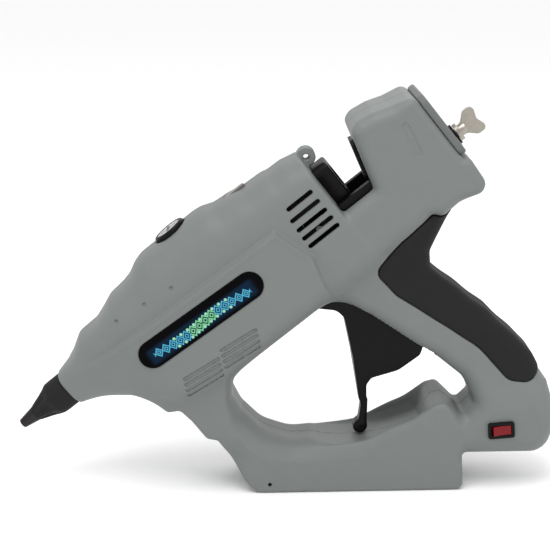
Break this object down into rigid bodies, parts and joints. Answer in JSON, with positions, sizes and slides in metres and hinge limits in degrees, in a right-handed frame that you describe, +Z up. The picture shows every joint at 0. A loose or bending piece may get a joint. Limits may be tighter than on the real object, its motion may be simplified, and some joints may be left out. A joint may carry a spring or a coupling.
{
  "type": "glue gun",
  "caption": "Hot glue gun with a sloping heated barrel, loop handle with a trigger that feeds the glue stick, temperature dial, mains switch and wing screw feed stop.",
  "frame": {"origin": "centre of the overall box at the height of the foot's flat underside", "axes": "+Z up, -X towards the nozzle, +X towards the heel, -Y the side with the mains switch"},
  "size_m": [0.3161, 0.0632, 0.2358],
  "materials": {
    "housing_grey": "satin",
    "cap_grey": "satin",
    "black_plastic": "satin",
    "black_rubber": "matte",
    "badge_plate": "gloss",
    "red_plastic": "gloss",
    "dial_print": "satin",
    "lamp_lens": "gloss",
    "nozzle_metal": "satin",
    "steel": "satin",
    "bright_steel": "polished",
    "brass": "satin",
    "aluminium": "satin",
    "ceramic": "matte",
    "mica": "matte",
    "glass_fibre": "matte",
    "silicone": "matte",
    "circuit_board": "satin"
  },
  "bodies": {
    "body": {"left_shell": "housing_grey", "right_shell": "housing_grey", "rear_cap": "cap_grey", "inlet_collar": "black_plastic", "front_bush": "black_plastic", "rear_bush": "black_plastic", "switch_housing": "black_plastic", "cord_bush": "black_plastic", "screw_washer": "black_plastic", "potentiometer": "black_plastic", "grip_pad": "black_rubber", "nozzle_cover": "black_rubber", "badge_left": "badge_plate", "badge_right": "badge_plate", "indicator_lens": "lamp_lens", "indicator_lamp": "lamp_lens", "nozzle": "nozzle_metal", "cap_screws": "steel", "housing_screws": "steel", "guide_rods": "steel", "trigger_pin": "steel", "hose_clip": "steel", "carriage_springs": "steel", "valve_spring": "steel", "feed_frame": "steel", "heater_cartridges": "steel", "screw_insert": "brass", "valve_seat": "brass", "switch_terminals": "brass", "melt_chamber": "aluminium", "thermistor": "ceramic", "thermal_fuse": "ceramic", "front_insulator": "mica", "rear_insulator": "mica", "insulation_sleeve": "glass_fibre", "inlet_sleeve": "silicone", "control_board": "circuit_board"},
    "trigger": {"trigger": "black_plastic", "drive_pins": "steel"},
    "carriage": {"carriage": "black_plastic", "jaw_pin": "steel"},
    "jaw": {"jaw": "steel"},
    "dial": {"temperature_dial": "black_plastic", "dial_face": "dial_print", "dial_shaft": "steel"},
    "rocker": {"switch_rocker": "red_plastic"},
    "stop_pad": {"stop_pad": "black_plastic"},
    "wing_screw": {"wing_screw": "bright_steel"},
    "valve": {"valve_ball": "steel"}
  },
  "joints": [
    {"name": "trigger_hinge", "type": "hinge", "parent": "body", "child": "trigger", "pos_m": [0.03219, 0, 0.12973], "axis": [0, -1, 0], "range_deg": [0, 16], "stiffness_Nm_per_rad": 1.5, "springref_deg": -20.05},
    {"name": "carriage_slide", "type": "slide", "parent": "body", "child": "carriage", "axis": [-0.7815, 0, -0.6239], "range_m": [0, 0.00895], "deforming": ["carriage_springs"]},
    {"name": "jaw_hinge", "type": "hinge", "parent": "carriage", "child": "jaw", "pos_m": [0.06037, 0, 0.22362], "axis": [0, -1, 0], "range_deg": [0, 5.05]},
    {"name": "dial_turn", "type": "hinge", "parent": "body", "child": "dial", "pos_m": [-0.06917, 0, 0.15348], "axis": [-0.6239, 0, 0.7815], "range_deg": [0, 270]},
    {"name": "rocker_hinge", "type": "hinge", "parent": "body", "child": "rocker", "pos_m": [0.1225, -0.023, 0.0374], "axis": [0.0698, 0, -0.9976], "range_deg": [0, 16]},
    {"name": "stop_pad_slide", "type": "slide", "parent": "body", "child": "stop_pad", "axis": [0.7815, 0, 0.6239], "range_m": [0, 0.004]},
    {"name": "wing_screw_turn", "type": "hinge", "parent": "stop_pad", "child": "wing_screw", "pos_m": [0.09768, 0, 0.21055], "axis": [0.7815, 0, 0.6239], "range_deg": [0, 1800]},
    {"name": "valve_slide", "type": "slide", "parent": "body", "child": "valve", "axis": [-0.7815, 0, -0.6239], "range_m": [0, 0.002], "stiffness_N_per_m": 300, "springref_m": -0.003, "deforming": ["valve_spring"]}
  ],
  "couplings": [
    {"joint": "carriage_slide", "follows": "trigger_hinge", "m_per_rad": 0.031896},
    {"joint": "jaw_hinge", "follows": "trigger_hinge", "ratio": 0.3125},
    {"joint": "stop_pad_slide", "follows": "wing_screw_turn", "m_per_rad": 0.00012732}
  ]
}
